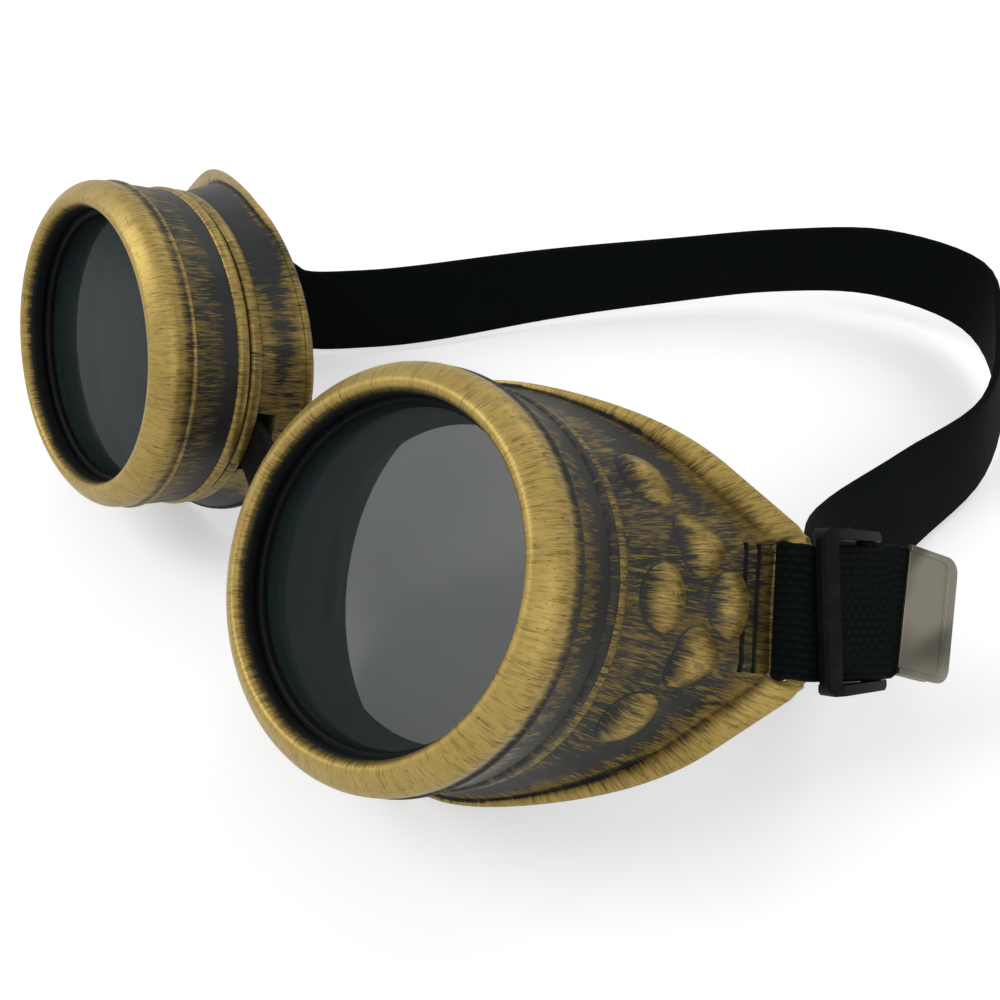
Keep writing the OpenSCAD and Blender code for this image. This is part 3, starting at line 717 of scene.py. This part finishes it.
inner_x = 44.6
loop_end = 49.5
lens_mid = (left_at + right_at) / 2
stations = [((-79.3, 53.5, -16.5), (0.4, 0.5, 0.75)), ((-74, 58.5, -25), (0.1, 0.55, 0.83)),
            ((-67.5, 63, -28.6), (0, 0.4, 0.92)), ((-58, 73, -29), (-0.15, 0.22, 0.96)),
            ((-48, 87, -29), (-0.25, 0.1, 0.97)), ((-30, 116, -28), (-0.05, 0, 1)),
            ((-11, 142, -27), (0.05, -0.1, 1)), ((9, 164, -25), (0.05, -0.2, 0.98)),
            ((31, 178, -23), (0, -0.2, 0.98)), ((56, 177, -23), (-0.05, -0.2, 0.97)),
            ((71, 157, -26), (-0.25, -0.25, 0.94)), ((79, 130, -29), (-0.27, -0.15, 0.95)),
            ((76, 102, -30), (-0.45, 0.05, 0.9)), ((74, 73, -27), (-0.57, 0.2, 0.8))]
start = local(right_eye_mirrored, (inner_x, loop_end + 0.3, 0))
finish_at = local(left_eye, (44.4, 45.8, 0))
right_up, left_up = (local(e, (0, 0, 1)) - local(e, (0, 0, 0)) for e in (right_eye, left_eye))
leg_steps = 6
run = flowing([start] + [np.array(lens_mid) + s[0] for s in stations] + [finish_at], leg_steps)
up = flowing([right_up] + [s[1] for s in stations] + [left_up], leg_steps)
heads = lengthways(run)
heads[0] = local(right_eye, (0, 1, 0)) - local(right_eye, (0, 0, 0))
heads[-1] = local(left_eye, (0, -1, 0)) - local(left_eye, (0, 0, 0))
last = len(run) - 1
full = np.minimum(1, np.minimum(np.arange(last + 1), last - np.arange(last + 1)) / 8)
widths = strap_end_w + (strap_w - strap_end_w) * full
mid_run, right_still, left_still = leg_steps * 8, run[leg_steps * 6], run[leg_steps * 12]
for name, part, body, first, end in (
        ("head_strap_right_half", slice(0, mid_run + 1), "right_cup_body", start, right_still),
        ("head_strap_left_half", slice(mid_run, last + 1), "left_cup_body", finish_at, left_still)):
    half = strap_piece(name, to_mm, run[part], up[part], widths[part], run_cloth, None,
                       ["head_strap"], heads[part])
    [v / 1000 for v in first]
    [v / 1000 for v in end]
    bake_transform(half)

# Right strap loop. The strap's end goes round the right cup's bar and is sewn to itself with
# three short rows of black thread.
bar_x = temple_reach - 1.3
wrap = 1.3 + strap_t / 2 + 0.35
bar_front = temple_depth - brim_t
loop = flowing([[inner_x, loop_end], [inner_x - 0.2, temple_depth + 7],
                [bar_x - wrap, temple_depth + 1.2], [bar_x - wrap + 0.1, bar_front - 1],
                [bar_x, bar_front - 2.2], [bar_x + wrap, bar_front - 0.2],
                [bar_x + wrap, temple_depth + 2.5], [inner_x + strap_t + 0.4, temple_depth + 8],
                [inner_x + strap_t + 0.1, loop_end - 1]], 6)
loop = np.column_stack([loop, np.zeros(len(loop))])
strap_piece("right_loop_webbing", right_eye_mirrored, loop, [(0, 0, 1)] * len(loop),
            [strap_end_w] * len(loop), run_cloth, "right_cup_body", ["right_strap_loop"])


def thread_finish():
    material, wash = new_finish("black_thread")
    at = wash.node("ShaderNodeTexCoord", {}, {}, "Object")
    twist = wash.node("ShaderNodeTexWave", {"bands_direction": "DIAGONAL"},
                      {"Vector": at, "Scale": 900.0})
    bump = wash.node("ShaderNodeBump", {}, {"Strength": 0.4, "Distance": 0.0001, "Height": twist})
    # Painted shade: the thread is darker in the grooves of its twist and paler on its ridges
    wash.surface({"Base Color": twist.blend((0.01, 0.01, 0.01, 1), (0.03, 0.03, 0.03, 1)),
                  "Roughness": 0.55, "Normal": bump})
    return material


stitches = Moulding()
for row in range(3):
    x = inner_x + 1.5 * strap_t + 0.2
    y = loop_end - 6 + 1.75 * row
    for z in np.arange(-7.4, 7.6, 1.35):
        points = []
        for v, r, sink in ((-0.62, 0.08, 0.25), (-0.45, 0.26, 0.08), (0, 0.33, 0),
                           (0.45, 0.26, 0.08), (0.62, 0.08, 0.25)):
            points += [(x - sink + r * math.cos(q), y + r * math.sin(q) + 0.25 * v, z + v)
                       for q in round_turn(8)]
        stitches.add(points, capped(5, 8), [0.0] * len(points))
stitches.made("right_loop_stitches", right_eye_mirrored, "right_cup_body", "black_thread",
              thread_finish(), ["right_stitching"])

# Strap tail. The strap comes out over the left cup's bar and lies as a stiff ribbed tail, with
# the slider on it and the metal clip at its end. It slants back and rises a little.
tail_slant, tail_rise, clip_turn = math.radians(30), math.radians(5.5), math.radians(12)
tail_foot = np.array((temple_reach + 1.4, temple_depth - 1.5, 0))
tail_heading = np.array((math.sin(tail_slant), math.cos(tail_slant), 0))
upright = np.array((0, 0, 1))
tail_x = tail_heading * math.cos(tail_rise) + upright * math.sin(tail_rise)
tail_z = upright * math.cos(tail_rise) - tail_heading * math.sin(tail_rise)
slider_end = 13.5
clip_x = tail_x * math.cos(clip_turn) - tail_z * math.sin(clip_turn)
clip_z = tail_x * math.sin(clip_turn) + tail_z * math.cos(clip_turn)
clip_foot = tail_foot + tail_x * (slider_end + 2.2) + tail_z * 0.6
bend = flowing([(inner_x - 0.2, temple_depth + 6, 0), (bar_x - wrap, temple_depth + 1.5, 0),
                (bar_x - wrap, bar_front - 0.9, 0), (bar_x - 1.2, bar_front - 2.4, 0),
                (bar_x + 0.6, bar_front - 2.6, 0), tail_foot - tail_x * 1.5,
                tail_foot + tail_x * 1.5], 6)
bend_lean = np.clip((np.arange(len(bend)) - len(bend) + 13) / 9, 0, 1)[:, None]
flat = [tail_foot + tail_x * u for u in (4, 7, 10, slider_end - 1.5)]
flat += [clip_foot + clip_x * u for u in (-0.6, 3, 6, 9.8)]
tail_path = np.vstack([bend, flat])
tail_wide = np.vstack([upright * (1 - bend_lean) + tail_z * bend_lean,
                       [tail_z] * 4, [clip_z] * 4])
tail_cloth = webbing("ribbed_webbing", 1.05, 1.5, 0.9, (0.0032, 0.0046, 0.0045, 1))
# The webbing spreads a little in the slot and inside the slider
tail_widths = strap_end_w + 0.8 * np.exp(-((np.arange(len(tail_path)) - 14) / 5.0) ** 4)
tail_widths[len(bend):len(bend) + 4] += 0.5
strap_piece("strap_tail_webbing", left_eye, tail_path, tail_wide, tail_widths, tail_cloth,
            "left_cup_body", ["strap_tail"])

# Slider. A glossy black moulded ladder: one rail in front of the webbing and one behind it,
# joined above and below. Its moulded corners and edges are rounded.


def eased(name, node, body, finish, radius, steps=3, outline=None):
    """The CAD piece with its edges eased, and trimmed to an outline where one is given."""
    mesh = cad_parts[node].data.copy()
    mesh.name = name
    form = bmesh.new()
    form.from_mesh(mesh)
    bmesh.ops.remove_doubles(form, verts=form.verts, dist=1e-6)
    bmesh.ops.dissolve_limit(form, angle_limit=math.radians(1), verts=form.verts, edges=form.edges)
    form.to_mesh(mesh)
    form.free()
    if outline:
        points, faces = cut_out([v.co * 1000 for v in mesh.vertices],
                                [tuple(f.vertices) for f in mesh.polygons], [outline], "INTERSECT")
        mesh.clear_geometry()
        mesh.from_pydata([Vector(v) / 1000 for v in points], [], faces)
    mesh.materials.clear()
    mesh.materials.append(finish)
    mesh.shade_smooth()
    piece = in_scene(name, mesh)
    ease = piece.modifiers.new("eased edges", "BEVEL")
    ease.width, ease.segments = radius / 1000, steps
    ease.limit_method, ease.angle_limit = "ANGLE", math.radians(30)
    ease.harden_normals = True
    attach(piece, body)
    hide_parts(node)


def gloss_plastic():
    material, wash = new_finish("gloss_black_plastic")
    at = wash.node("ShaderNodeTexCoord", {}, {}, "Object")
    skin = at.noise(900, 2.0)
    rubs = at.scaled(1, 0.3, 1).noise(420, 4.0, 0.7)
    bump = wash.node("ShaderNodeBump", {}, {"Strength": 0.12, "Distance": 0.00006, "Height": skin})
    black = rubs.step(0.45, 0.75).blend((0.0035, 0.0048, 0.0048, 1), (0.008, 0.0095, 0.009, 1))
    wash.surface({"Base Color": black, "Roughness": 0.3 + rubs.step(0.4, 0.75) * 0.15,
                  "Normal": bump, "Specular IOR Level": 0.05})
    return material


slider_from, slider_half, corner_r = -2.05, 11.7, 3.0
slider_lift, trim_half = 0.3, 6
tail_out = np.cross(tail_z, tail_x)
near_x, far_x = slider_from + corner_r, slider_end + 0.05 - corner_r
low_z, high_z = corner_r - slider_half, slider_half - corner_r
corners = [(x + corner_r * math.cos(q), z + corner_r * math.sin(q))
           for x, z, first in ((far_x, high_z, 0), (near_x, high_z, 90),
                               (near_x, low_z, 180), (far_x, low_z, 270))
           for q in np.radians(np.linspace(first, first + 90, 9))]
frame_outline = [local(left_eye, tail_foot + tail_x * x + tail_z * (z + slider_lift)
                       + tail_out * out) for out in (-trim_half, trim_half) for x, z in corners]
eased("strap_slider_gloss", "strap_slider", "slider_body",
      gloss_plastic(), 0.5, 4, outline=(frame_outline, capped(2, len(corners))))

# End clip. Thin nickel-plated sheet folded over the webbing's end and pressed, which leaves a
# raised border and a soft crease across it.


def nickel_sheet():
    material, wash = new_finish("nickel")
    at = wash.node("ShaderNodeTexCoord", {}, {}, "Object")
    grain = at.scaled(1, 1, 0.12).noise(1500, 3.0)
    cloud = at.scaled(1, 0.45, 1.3).noise(95, 1.0)
    bump = wash.node("ShaderNodeBump", {}, {"Strength": 0.1, "Distance": 0.0003, "Height": cloud})
    metal = cloud.step(0.38, 0.6).blend((0.09, 0.085, 0.063, 1), (0.22, 0.208, 0.16, 1))
    wash.surface({"Base Color": metal, "Metallic": 1.0,
                  "Roughness": 0.34 + (grain - 0.5) * 0.18 + cloud * 0.1, "Normal": bump})
    return material


eased("end_clip_nickel", "end_clip", "left_cup_body", nickel_sheet(), 0.18)

# Floor and light. A pale floor that reads as white, under a pale sky and three soft lamps.


def seen_directly(wash):
    """1 for rays from the camera, or by way of gloss or glass, and 0 for light on the object."""
    rays = [wash.node("ShaderNodeLightPath", {}, {}, k)
            for k in ("Is Camera Ray", "Is Glossy Ray", "Is Transmission Ray")]
    return wash.math("MAXIMUM", wash.math("MAXIMUM", rays[0], rays[1]), rays[2])


def studio_floor():
    mesh = bpy.data.meshes.new("floor")
    mesh.from_pydata([(-4, -4, 0), (4, -4, 0), (4, 4, 0), (-4, 4, 0)], [], [(0, 1, 2, 3)])
    floor = in_scene("floor", mesh)
    material, wash = new_finish("pale_floor")
    matt = wash.node("ShaderNodeBsdfDiffuse", {}, {"Color": (0.8, 0.8, 0.8, 1)})
    glow = wash.node("ShaderNodeEmission", {},
                     {"Color": (1, 1, 1, 1), "Strength": seen_directly(wash) * 0.42})
    both = wash.node("ShaderNodeAddShader", {}, {0: matt, 1: glow})
    wash.node("ShaderNodeOutputMaterial", {}, {"Surface": both})
    mesh.materials.append(material)


studio_floor()
world = bpy.data.worlds.new("studio")
bpy.context.scene.world = world
world.use_nodes = True
world.node_tree.nodes.clear()
sky = Wash(world.node_tree)
air = sky.node("ShaderNodeBackground", {},
               {"Color": (1, 1, 1, 1), "Strength": 0.45 + seen_directly(sky) * 0.45})
sky.node("ShaderNodeOutputWorld", {}, {"Surface": air})
for name, at, aim, size, power in (
        ("key", (-0.5, -0.62, 0.85), (0, -0.05, 0.03), 0.5, 4.6),
        ("fill", (0.85, -0.35, 0.6), (0, 0, 0.03), 0.6, 2.0),
        ("back", (-0.2, 0.8, 0.9), (0, 0, 0.03), 0.6, 1.8)):
    lamp = bpy.data.lights.new(name, "AREA")
    lamp.size, lamp.energy = size, power
    holder = in_scene(name, lamp)
    holder.location = at
    holder.rotation_euler = (Vector(aim) - Vector(at)).to_track_quat("-Z", "Y").to_euler()

# Camera, at the photograph's place: above and to the left of the wearer, near the left cup.
camera = bpy.data.cameras.new("photo_camera")
camera.sensor_width = 36
camera.lens = 30.96
camera.clip_start = 0.01
stand = in_scene("photo_camera", camera)
stand_at = (0.099519, -0.126216, 0.121365)
right = (0.72072, 0.69323, 0)
down = (0.46021, -0.47846, -0.74785)
ahead = (-0.51843, 0.53899, -0.66387)
aim = Matrix((right, [-v for v in down], [-v for v in ahead])).transposed().to_4x4()
stand.matrix_world = Matrix.Translation(stand_at) @ aim
bpy.context.scene.camera = stand
bpy.context.scene.view_settings.view_transform = "Standard"
